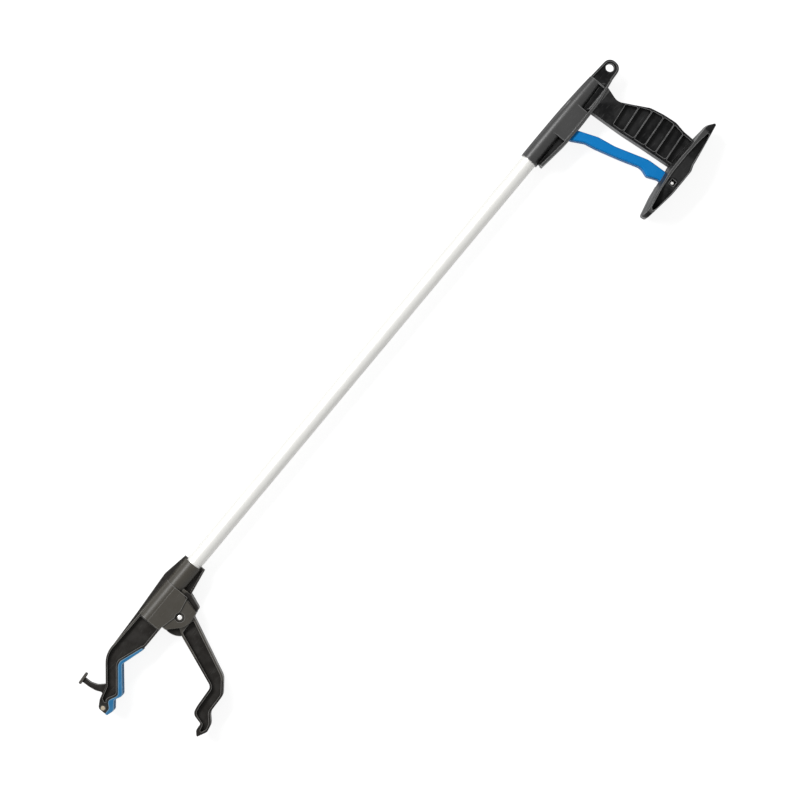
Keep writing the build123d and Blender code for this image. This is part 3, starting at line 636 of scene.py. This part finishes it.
def moulded_plastic(
    name, face, pocket, edge, levels, pin=None, roughness=0.5, pebble=0.42 * MM, relief=0.05 * MM,
    shine=1.0, gloss=0.40, skin_ior=1.5, edge_reach=0.9 * MM,
):
    """A moulding with colours for its faces, its pockets and its edges. The pocket colour is painted
    shade, and the edge colour is partly wear and partly a painted highlight.

    levels is how far from the middle plane a surface counts as an outer face: first a distance
    in metres, then pairs of a distance and the zone that it holds for. pin is the place of a
    pin, the radius of its recess and how dark the painted shade in that recess is. shine is the
    weight of the smooth skin that outer faces have and pockets lack, gloss is that skin's
    roughness, and skin_ior says how strongly it mirrors."""
    material, tree, shader = new_material(name)
    shader.inputs["Specular IOR Level"].default_value = BODY_SPECULAR
    shader.inputs["Coat Roughness"].default_value = gloss
    shader.inputs["Coat IOR"].default_value = skin_ior
    edges = place_group(tree, edge_wear_and_painted_light, radius=EDGE_RADIUS, reach=edge_reach, patchiness=PATCHINESS)
    grain = place_group(tree, mould_grain, pebble_size=pebble)
    line = place_group(tree, parting_line, plane_height=middle_z)
    marks = place_group(tree, handling)
    unshaded = unshaded_faces(tree, levels, pin)
    colour = plastic_colour(tree, unshaded, edges, grain, marks, face, pocket, edge)
    skin = plastic_skin(tree, unshaded, edges, grain, shine)
    mottle = (grain.outputs["Mottle"], MOTTLE_ROUGHNESS)
    smudge = (marks.outputs["Smudge"], -SMUDGE_ROUGHNESS)
    height = varied(tree, grain.outputs["Height"], (line.outputs["Ridge"], RIDGE_HEIGHT))
    normal = bumped_normal(tree, height, relief, edges.outputs["Rounded Normal"])
    join(tree, colour, shader.inputs["Base Color"])
    join(tree, skin, shader.inputs["Coat Weight"])
    join(tree, varied(tree, roughness, mottle, smudge), shader.inputs["Roughness"])
    join(tree, normal, shader.inputs["Normal"])
    describe(name, tree)
    return material


# %% [markdown]
# ## Where the outer faces begin
# The barrel, the grip and the flange of the handle have different thicknesses, and so have the
# head and the fingers of the jaws. Each zone below starts at a distance from the tube's axis or
# from a pivot, so its border goes where the pivot goes. The distances themselves, and the levels,
# are plain sizes of these mouldings, and have to be set again if a moulding gets a new thickness.

# %% Levels and zones
BARREL_DEPTH = 17.2 * MM  # from the tube's axis to the barrel's underside
FLANGE_START = 7.4 * MM  # from the trigger's pivot back to where the flange's sides begin
FLANGE_MIDDLE = 20.0 * MM  # from the trigger's pivot back to the middle of its curved rim
HEAD_FRONT = 21.5 * MM  # from the jaw's pivot
SPINE_PLACE = 8.6 * MM  # from the tube's axis to the raised back of the head
STOP_PLACE = 12.0 * MM  # from the tube's axis to the stop plate beside the cheek
STOP_CORNER = 21.2 * MM  # from the jaw's pivot back to the cheek's corner
FLANGE_BEND = 1.8  # how fast a curved border falls away from its middle, per metre
STOP_BEND = 400.0
RECESS = 4.7 * MM  # radius of the recess round a pin's end

below_barrel = {"slope_y": 1.0, "start": tube_axis_y + BARREL_DEPTH}
flange_sides = {
    "slope_y": 1.0, "start": trigger_pivot.y - FLANGE_START,
    "bend": FLANGE_BEND, "bend_place": trigger_pivot.x - FLANGE_MIDDLE,
}
past_head = {"slope_x": 1.0, "start": jaw_pivot.x + HEAD_FRONT}
spine = {"slope_y": -1.0, "start": SPINE_PLACE - tube_axis_y}
stop_plate = {
    "slope_y": 1.0, "start": tube_axis_y + STOP_PLACE,
    "bend": STOP_BEND, "bend_place": jaw_pivot.x - STOP_CORNER,
}
SOLID = (0.0,)  # everything is an outer face
NEVER_OUTER = 20.0 * MM  # farther out than any surface
# Nearer the middle plane than its level, a surface gets the pocket colour, which is painted shade; the
# stop plate never counts as an outer face, so it gets painted shade all over.
handle_levels = (4.1 * MM, (8.6 * MM, below_barrel), (14.1 * MM, flange_sides))
jaw_levels = (4.2 * MM, (7.6 * MM, past_head), (2.5 * MM, spine), (NEVER_OUTER, stop_plate))
print("the handle has", len(handle_levels) - 1, "zones, the jaws", len(jaw_levels) - 1)

# %% [markdown]
# ## The mouldings that are seen
# The handle is a deep black with the strongest skin, the jaws are a warmer, greyer black, and
# the trigger is a strong blue without pockets. They differ only in a few values, so each is
# one call of the recipe.

# %% Handle, jaws and trigger
TRIGGER_BLUE = (0.0, 0.200, 0.56)
# The pocket colours below are painted shade, and the edge colours are partly wear and partly a painted
# highlight; the trigger has only the edge colours.
handle_plastic = moulded_plastic(
    "handle_black", face=(0.0042, 0.0041, 0.004), pocket=(0.0022, 0.0022, 0.0025),
    edge=(0.19, 0.19, 0.19), levels=handle_levels, pin=(trigger_pivot.xy, RECESS, 1.0),
    gloss=0.36, skin_ior=1.58, edge_reach=1.4 * MM,
)
jaw_plastic = moulded_plastic(
    "jaw_grey", face=(0.021, 0.0165, 0.0085), pocket=(0.0145, 0.0128, 0.0112),
    edge=(0.19, 0.185, 0.175), levels=jaw_levels, pin=(jaw_pivot.xy, RECESS, 0.45),
    edge_reach=1.2 * MM,
)
trigger_plastic = moulded_plastic(
    "trigger_blue", face=TRIGGER_BLUE, pocket=TRIGGER_BLUE, edge=(0.04, 0.31, 0.70), levels=SOLID,
    relief=0.03 * MM, shine=0.15,
)

# %% [markdown]
# ## Soft rubber
# The pad on the fixed finger grips small things. Rubber is duller than plastic and has a finer
# and deeper grain. Its pale edges are a painted highlight, for the white of the studio that the
# curved edges reflect. Those are other values of the same recipe, so rubber needs no recipe of its
# own.

# %% Rubber
RUBBER_BLUE = (0.020, 0.168, 0.37)
liner_rubber = moulded_plastic(
    "liner_rubber", face=RUBBER_BLUE, pocket=RUBBER_BLUE, edge=(0.24, 0.39, 0.51), levels=SOLID,
    roughness=0.66, pebble=0.3 * MM, relief=0.07 * MM, shine=0.15, edge_reach=1.6 * MM,
)

# %% [markdown]
# ## Hidden mouldings
# The bushes that guide the rod and the collar that the spring pushes on are natural,
# unpigmented plastic. The two rod ends are black, as small load-carrying mouldings often are.
# They are only seen when the tool is taken apart, but a part without a finish would look
# unfinished on its own.

# %% Natural and black small mouldings
NATURAL = (0.62, 0.60, 0.54)
ROD_END_BLACK = (0.02, 0.02, 0.021)
bush_plastic = moulded_plastic(
    "bush_natural", face=NATURAL, pocket=NATURAL, edge=(0.74, 0.72, 0.66), levels=SOLID,
    relief=0.02 * MM, shine=0.4,
)
rod_end_plastic = moulded_plastic(
    "rod_end_black", face=ROD_END_BLACK, pocket=ROD_END_BLACK, edge=(0.1, 0.1, 0.1), levels=SOLID,
    relief=0.02 * MM,
)

# %% [markdown]
# ## Satin anodised tube
# Drawn aluminium is etched, then anodised: a milky clear layer over soft, very fine lines that
# run along the tube. The lines come from noise drawn out along X. Part of the look is metal and
# part is the milky layer. Two shaders could be layered for that, but a Metallic well under 1
# gives the same soft look from one.

# %% Tube
SILVER = (0.81, 0.805, 0.775)
BRIGHT_SILVER = (0.86, 0.855, 0.825)
DULL_SILVER = (0.79, 0.785, 0.755)
SCUFFED_SILVER = (0.66, 0.655, 0.63)
TUBE_METALLIC = 0.45
TUBE_ROUGHNESS = 0.34
LINES_PER_METRE = (6.0, 2600.0, 2600.0)
TONES_PER_METRE = 14.0
TONE_TINT = 0.5
TUBE_SCUFF_TINT = 0.3
LINE_ROUGHNESS = 0.12
LINE_RELIEF = 0.004 * MM


def anodised_tube(name):
    """Fine drawing lines along X, a slow change of tone along the length, and darker scuffs."""
    material, tree, shader = new_material(name)
    place = object_place(tree)
    lines = streaks(tree, place, LINES_PER_METRE, detail=3.0)
    tone = noise(tree, place, TONES_PER_METRE, detail=2.0)
    marks = place_group(tree, handling)
    silver = mixed_colour(tree, lines, SILVER, BRIGHT_SILVER)
    toned = mixed_colour(tree, times(tree, tone, TONE_TINT), silver, DULL_SILVER)
    scuffs = times(tree, marks.outputs["Scuff"], TUBE_SCUFF_TINT)
    scuffed = mixed_colour(tree, scuffs, toned, SCUFFED_SILVER)
    smudge = (marks.outputs["Smudge"], SMUDGE_ROUGHNESS)
    rough = varied(tree, TUBE_ROUGHNESS, (lines, LINE_ROUGHNESS), smudge)
    shader.inputs["Metallic"].default_value = TUBE_METALLIC
    join(tree, scuffed, shader.inputs["Base Color"])
    join(tree, rough, shader.inputs["Roughness"])
    join(tree, bumped_normal(tree, lines, LINE_RELIEF), shader.inputs["Normal"])
    describe(name, tree)
    return material


tube_silver = anodised_tube("tube_silver")

# %% [markdown]
# ## Bright steel
# Pins, the pull rod, the spring and the push-on clips are plated steel, and the magnet has a coat
# of nickel. Plating is uneven at the size of a hair, a little duller in patches, and bright again
# where it is rubbed. Turned rings or drawn lines would be too fine to see on parts this small, so
# the grain group does it all.

# %% Steel
STEEL_EDGE = {"radius": 0.2 * MM, "reach": 0.3 * MM, "patchiness": 0.2}
STEEL_RELIEF = 0.003 * MM
STEEL_RUB_TINT = 0.5
STEEL_SMUDGE_ROUGHNESS = 0.06


def plated_steel(name, bright, dark, roughness, pebble=0.2 * MM):
    """Bright metal with duller, rougher patches, bright rubbed edges and a very fine relief."""
    material, tree, shader = new_material(name)
    grain = place_group(tree, mould_grain, pebble_size=pebble)
    edges = place_group(tree, edge_wear_and_painted_light, **STEEL_EDGE)
    marks = place_group(tree, handling)
    plated = mixed_colour(tree, grain.outputs["Mottle"], bright, dark)
    rub = times(tree, edges.outputs["Edge"], STEEL_RUB_TINT)
    edge_lightened = mixed_colour(tree, rub, plated, bright)
    mottle = (grain.outputs["Mottle"], MOTTLE_ROUGHNESS)
    smudge = (marks.outputs["Smudge"], STEEL_SMUDGE_ROUGHNESS)
    rough = varied(tree, roughness, mottle, smudge)
    rounded = edges.outputs["Rounded Normal"]
    normal = bumped_normal(tree, grain.outputs["Height"], STEEL_RELIEF, rounded)
    shader.inputs["Metallic"].default_value = 1.0
    join(tree, edge_lightened, shader.inputs["Base Color"])
    join(tree, rough, shader.inputs["Roughness"])
    join(tree, normal, shader.inputs["Normal"])
    describe(name, tree)
    return material


pin_steel = plated_steel("pin_steel", (0.90, 0.89, 0.87), (0.78, 0.77, 0.75), 0.22)
spring_steel = plated_steel("spring_steel", (0.62, 0.62, 0.63), (0.48, 0.48, 0.50), 0.28)
magnet_nickel = plated_steel(
    "magnet_nickel", (0.50, 0.43, 0.32), (0.38, 0.32, 0.24), 0.34, pebble=0.4 * MM
)

# %% [markdown]
# ## Putting the finishes on the CAD parts
# A CAD part whose shape is right keeps its mesh, and only its material slot is filled. The list
# goes by finish and not by part, so it shows which parts are made of the same stuff. The parts
# that are made again below get a finish too, so that every part of the frame has one.

# %% Finishes by part
finishes = {
    handle_plastic: ["handle_frame"],
    jaw_plastic: ["jaw_head", "moving_jaw"],
    trigger_plastic: ["trigger"],
    liner_rubber: ["finger_liner"],
    tube_silver: ["main_tube"],
    pin_steel: ["jaw_pivot_pin", "trigger_pivot_pin", "pull_rod", "trigger_link_pin", "jaw_link_pin"],
    spring_steel: ["return_spring", "collar_clip", "jaw_pin_clip", "trigger_pin_clip"],
    magnet_nickel: ["tip_magnet"],
    bush_plastic: ["rod_guide_handle", "rod_guide_middle", "rod_guide_jaw", "spring_collar"],
    rod_end_plastic: ["rod_end_handle", "rod_end_jaw"],
}
for material, parts in finishes.items():
    for part in parts:
        for material_slot in node[part].material_slots:
            material_slot.material = material
print("finished", sum(len(parts) for parts in finishes.values()), "of", len(node), "CAD parts")

# %% [markdown]
# ## Surfaces from numpy grids
# The turned, stamped and wound steel parts are grids of points worked out as whole arrays. They
# could be cut from primitives with modifiers, but a grid says the shape as a formula and has no
# stray faces. One helper makes the mesh: it joins each row of the grid to the next, and may wrap
# rows round to the first one or close the two ends with a point.


# %% Grid mesh
def piece_from_grid(name, points, material, wrap_rows=False, poles=None):
    """points has rows x columns x 3 values, and columns always wrap; poles are two end points."""
    rows, columns, _ = points.shape
    index = np.arange(rows * columns).reshape(rows, columns)
    beside = np.roll(index, -1, axis=1)
    if wrap_rows:
        above, beside_above = np.roll(index, -1, axis=0), np.roll(beside, -1, axis=0)
        below, beside_below = index, beside
    else:
        above, beside_above = index[1:], beside[1:]
        below, beside_below = index[:-1], beside[:-1]
    faces = np.stack([below, beside_below, beside_above, above], axis=-1).reshape(-1, 4).tolist()
    corners = points.reshape(-1, 3)
    if poles is not None:
        corners = np.vstack([corners, poles])
        first, last = rows * columns, rows * columns + 1
        faces += np.stack([np.full(columns, first), beside[0], index[0]], axis=-1).tolist()
        faces += np.stack([np.full(columns, last), index[-1], beside[-1]], axis=-1).tolist()
    mesh = bpy.data.meshes.new(name)
    mesh.from_pydata(corners.tolist(), [], faces)
    mesh.polygons.foreach_set("use_smooth", np.ones(len(mesh.polygons), dtype=bool))
    mesh.materials.append(material)
    piece = bpy.data.objects.new(name, mesh)
    bpy.context.scene.collection.objects.link(piece)
    return piece


# %% [markdown]
# ## The two pivot pins
# Both pins are turned from bright bar. Their ends are domed, so the head catches the window as
# one round light, and a fine groove runs round the shank behind each head. A cylinder with a
# bevelled rim would have neither the true dome nor the groove. The lathe leaves a profile, and
# the pin is that profile carried round its axis.


# %% Turned pins
def turned_pin(name, replaced):
    """Radius against height: a quarter ellipse at each end, two grooves with rounded floors, a
    straight shank between, all carried round a vertical axis."""
    low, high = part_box(replaced)
    axis_x, axis_y = (low.x + high.x) / 2, (low.y + high.y) / 2
    radius = (high.x - low.x) / 2
    dome = 0.28 * radius
    step = 0.1 * MM
    groove_depth, groove_place, groove_width = 0.12 * MM, 0.9 * MM, 0.16 * MM
    quarter = np.linspace(0.06, 1.0, 12) * math.pi / 2
    head_radii = radius * np.sin(quarter)
    head_heights = high.z - dome * (1 - np.cos(quarter))
    shank = np.linspace(high.z - dome - step, low.z + dome + step, 90)
    behind_head = np.minimum(high.z - dome - shank, shank - low.z - dome)
    groove = groove_depth * np.exp(-(((behind_head - groove_place) / groove_width) ** 2))
    radii = np.concatenate([head_radii, radius - groove, head_radii[::-1]])
    heights = np.concatenate([head_heights, shank, low.z + high.z - head_heights[::-1]])
    turn = np.linspace(0, 2 * math.pi, 64, endpoint=False)
    points = np.stack([
        axis_x + radii[:, None] * np.cos(turn),
        axis_y + radii[:, None] * np.sin(turn),
        np.broadcast_to(heights[:, None], (len(heights), len(turn))),
    ], axis=-1)[::-1]
    poles = [[axis_x, axis_y, low.z], [axis_x, axis_y, high.z]]
    pin = piece_from_grid(name, points, pin_steel, poles=poles)
    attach(pin, "frame")
    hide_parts(replaced)
    print(name, "radius", round(radius / MM, 2), "mm, length", round((high.z - low.z) / MM, 1), "mm")


turned_pin("jaw_pin_turned", "jaw_pivot_pin")
turned_pin("trigger_pin_turned", "trigger_pivot_pin")

# %% [markdown]
# ## The push-on clips
# A push-on clip is a dished washer of spring steel whose hole is cut into teeth. The teeth bend
# outwards as the pin goes in and then bite. Cutting the slots out of a washer would leave ragged
# faces. Here the section is a thin strip from the hole to the rim, and going round, the hole's
# edge wanders between the teeth's tips and the slots' floors.


# %% Push-on clips
def toothed_clip(name, replaced, pin, teeth=6):
    """Two parameters: the turn, and the way round the strip's section. The hole's radius is the
    pin's, plus the slot's depth where a steep periodic step is 1; the dish rises as a square."""
    low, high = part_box(replaced)
    pin_low, pin_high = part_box(pin)
    axis_x, axis_y = (low.x + high.x) / 2, (low.y + high.y) / 2
    pin_radius = (pin_high.x - pin_low.x) / 2
    rim = (high.x - low.x) / 2
    thickness = 0.3 * MM
    bite_gap, slot_depth, dish_depth = 0.03 * MM, 0.95 * MM, 0.75 * MM
    slot_steepness, slot_edge = 14, 0.72
    turn = np.linspace(0, 2 * math.pi, 144, endpoint=False)
    slotted = 1 / (1 + np.exp(-slot_steepness * (np.cos(teeth * turn) - slot_edge)))
    hole = pin_radius + bite_gap + slot_depth * slotted
    across = np.array([0.0, 0.3, 0.6, 0.85, 0.97, 1.0, 0.97, 0.85, 0.6, 0.3])
    side = np.array([0.0, 1.0, 1.0, 1.0, 0.8, 0.0, -0.8, -1.0, -1.0, -1.0])
    radii = hole + (rim - hole) * across[:, None]
    dish = dish_depth * (np.clip((rim - radii) / (rim - pin_radius), 0, 1) ** 2)
    points = np.stack([
        axis_x + radii * np.cos(turn),
        axis_y + radii * np.sin(turn),
        high.z - thickness / 2 - dish + side[:, None] * thickness / 2,
    ], axis=-1)[::-1]
    clip = piece_from_grid(name, points, spring_steel, wrap_rows=True)
    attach(clip, "frame")
    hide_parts(replaced)
    print(name, "rim", round(2 * rim / MM, 1), "mm across,", teeth, "teeth")


toothed_clip("jaw_clip_toothed", "jaw_pin_clip", "jaw_pivot_pin")
toothed_clip("trigger_clip_toothed", "trigger_pin_clip", "trigger_pivot_pin")

# %% [markdown]
# ## The return spring
# The spring sits round the rod inside the tube, between a seat that stays and a collar that the
# rod carries. It is wound from round wire, and its last turn at each end lies close, so that it
# stands square on its seat. A curve with a round bevel could follow the same helix, but a grid
# gives closed ends in one go. As the rod is pulled the spring gets shorter.


# %% Wound spring
def wound_spring(name, replaced, turns=13, wire=0.5 * MM):
    """Two parameters: the way along the wire, and the turn round its section. The wire's centre
    goes round the tube's axis at a steady rate, and along it at a pitch that is small in the
    first and last turn and even between them."""
    low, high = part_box(replaced)
    length = high.x - low.x
    axis_y, axis_z = (low.y + high.y) / 2, (low.z + high.z) / 2
    coil = (high.y - low.y) / 2 - wire
    closed_pitch, closed_turns, easing_turns = 0.28, 0.6, 0.8
    steps_a_turn = 32
    along = np.linspace(0, turns, turns * steps_a_turn + 1)
    from_end = np.minimum(along, turns - along)
    opened = np.clip(from_end - closed_turns, 0, easing_turns) / easing_turns
    rate = closed_pitch + (1 - closed_pitch) * opened
    advance = np.concatenate([[0.0], np.cumsum((rate[1:] + rate[:-1]) / 2)])
    centre_x = low.x + wire + (length - 2 * wire) * advance / advance[-1]
    turn = 2 * math.pi * along
    section = np.linspace(0, 2 * math.pi, 12, endpoint=False)
    radii = coil + wire * np.cos(section)
    points = np.stack([
        centre_x[:, None] - wire * np.sin(section),
        axis_y + radii * np.cos(turn)[:, None],
        axis_z + radii * np.sin(turn)[:, None],
    ], axis=-1)
    ends = points[[0, -1]].mean(axis=1)
    spring = piece_from_grid(name, points, spring_steel, poles=ends)
    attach(spring, "frame")
    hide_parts(replaced)
    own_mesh(spring)


wound_spring("return_spring_wound", "return_spring")

# %% [markdown]
# ## The floor
# The tool lies on pale studio paper that runs out of sight. Turning the lamps up until the paper
# is white would wash out the tool. So the paper glows only for rays that are seen, straight or in
# a reflection, and the rays that light the tool find it plain. It keeps enough of a diffuse
# surface to hold the tool's shadow.

# %% Floor
PAPER_GREY = 0.32
PAPER_GLOW = 0.88
FLOOR_REACH = 6.0
FLOOR_GAP = 0.4 * MM


def seen_share(tree):
    """1 for camera, glossy and transmission rays, and 0 for the rays that light the tool."""
    path = add_node(tree, "ShaderNodeLightPath")
    seen = maths(tree, "MAXIMUM", path.outputs["Is Camera Ray"], path.outputs["Is Glossy Ray"])
    return maths(tree, "MAXIMUM", seen, path.outputs["Is Transmission Ray"])


def studio_paper():
    """Pale diffuse paper, plus a white glow that only seen rays find."""
    material = bpy.data.materials.new("studio_paper")
    material.use_nodes = True
    tree = material.node_tree
    tree.nodes.clear()
    grey = (PAPER_GREY, PAPER_GREY, PAPER_GREY, 1.0)
    paper = add_node(tree, "ShaderNodeBsdfDiffuse", None, {"Color": grey})
    glow = add_node(tree, "ShaderNodeEmission", None, {"Color": (1.0, 1.0, 1.0, 1.0)})
    join(tree, times(tree, seen_share(tree), PAPER_GLOW), glow.inputs["Strength"])
    both = add_node(tree, "ShaderNodeAddShader")
    join(tree, paper.outputs[0], both.inputs[0])
    join(tree, glow.outputs[0], both.inputs[1])
    output = add_node(tree, "ShaderNodeOutputMaterial")
    join(tree, both.outputs[0], output.inputs["Surface"])
    return material


def studio_floor(reach, level):
    """A square sheet, 2 * reach wide, at the given height."""
    corners = np.array([[-1, -1, 0], [1, -1, 0], [1, 1, 0], [-1, 1, 0]]) * reach
    corners[:, 2] = level
    mesh = bpy.data.meshes.new("studio_floor")
    mesh.from_pydata(corners.tolist(), [], [[0, 1, 2, 3]])
    mesh.materials.append(studio_paper())
    floor = bpy.data.objects.new("studio_floor", mesh)
    bpy.context.scene.collection.objects.link(floor)
    print("floor", 2 * reach, "m wide")


studio_floor(reach=FLOOR_REACH, level=cad_low.z - FLOOR_GAP)

# %% [markdown]
# ## The sky
# A white dome stands for the walls and the ceiling of the studio. As with the paper, only what a
# lens or a mirror sees of it is white, and the light that it casts is dim, so that the one lamp
# can still shape the tool.

# %% World
DOME_LIGHT = 0.30
DOME_SEEN = 1.0


def studio_world(lighting, seen):
    """Strength = lighting + (seen - lighting) * seen share."""
    world = bpy.data.worlds.new("studio_world")
    bpy.context.scene.world = world
    world.use_nodes = True
    tree = world.node_tree
    tree.nodes.clear()
    dome = add_node(tree, "ShaderNodeBackground", None, {"Color": (1.0, 1.0, 1.0, 1.0)})
    strength = varied(tree, lighting, (seen_share(tree), seen - lighting))
    join(tree, strength, dome.inputs["Strength"])
    output = add_node(tree, "ShaderNodeOutputWorld")
    join(tree, dome.outputs[0], output.inputs["Surface"])
    print("dome casts", lighting, "and is seen at", seen)


studio_world(lighting=DOME_LIGHT, seen=DOME_SEEN)

# %% [markdown]
# ## The window
# One large soft light comes from the tube's side of the tool. A small lamp would give hard
# shadows and a sharp glint. This one is long and low, so on the round barrel its reflection is a
# soft band along the tool, and the flat faces stay even.

# %% Key light
WINDOW_PLACE = Vector((0.0, -1.25, 1.35))  # from the middle of the tool
WINDOW_POWER = 32.0
WINDOW_WIDTH = 1.6
WINDOW_HEIGHT = 0.45


def soft_light(name, place, aim, power, width, height):
    """An area light at place that faces aim, both in metres, with its width level."""
    light = bpy.data.lights.new(name, "AREA")
    light.energy = power
    light.shape = "RECTANGLE"
    light.size = width
    light.size_y = height
    lamp = bpy.data.objects.new(name, light)
    lamp.location = place
    lamp.rotation_euler = (Vector(aim) - Vector(place)).to_track_quat("-Z", "Y").to_euler()
    bpy.context.scene.collection.objects.link(lamp)
    print(name, "of", power, "W,", round((Vector(aim) - Vector(place)).length, 2), "m away")


middle = (cad_low + cad_high) / 2
soft_light("window_light", middle + WINDOW_PLACE, middle, WINDOW_POWER, WINDOW_WIDTH, WINDOW_HEIGHT)

# %% [markdown]
# ## The camera
# The lens looks straight down on the tool's flat side from 1.9 m, which is far enough for the
# two ends to look equally large. It is turned about the line of sight so that the jaws point to
# the lower left and the grip to the upper right. The focal length follows from the width of the
# frame at the tool, which is easier to choose.

# %% Camera
LENS_DISTANCE = 1.9
FRAME_WIDTH = 0.788
SENSOR_WIDTH = 36.0
LENS_OFFSET_X = -7.6 * MM  # from the middle of the tool
LENS_OFFSET_Y = -3.7 * MM
LENS_TURN = 129.77  # degrees

camera_data = bpy.data.cameras.new("lens")
camera_data.sensor_width = SENSOR_WIDTH
camera_data.lens = SENSOR_WIDTH * LENS_DISTANCE / FRAME_WIDTH
camera = bpy.data.objects.new("lens", camera_data)
camera.location = (middle.x + LENS_OFFSET_X, middle.y + LENS_OFFSET_Y, middle_z + LENS_DISTANCE)
camera.rotation_euler = (0.0, 0.0, math.radians(LENS_TURN))
bpy.context.scene.collection.objects.link(camera)
bpy.context.scene.camera = camera
bpy.context.scene.view_settings.view_transform = "Standard"
print("lens", round(camera_data.lens, 1), "mm")

# %% [markdown]
# ## The end
# The view layer is brought up to date once more.

# %% Finish
bpy.context.view_layer.update()
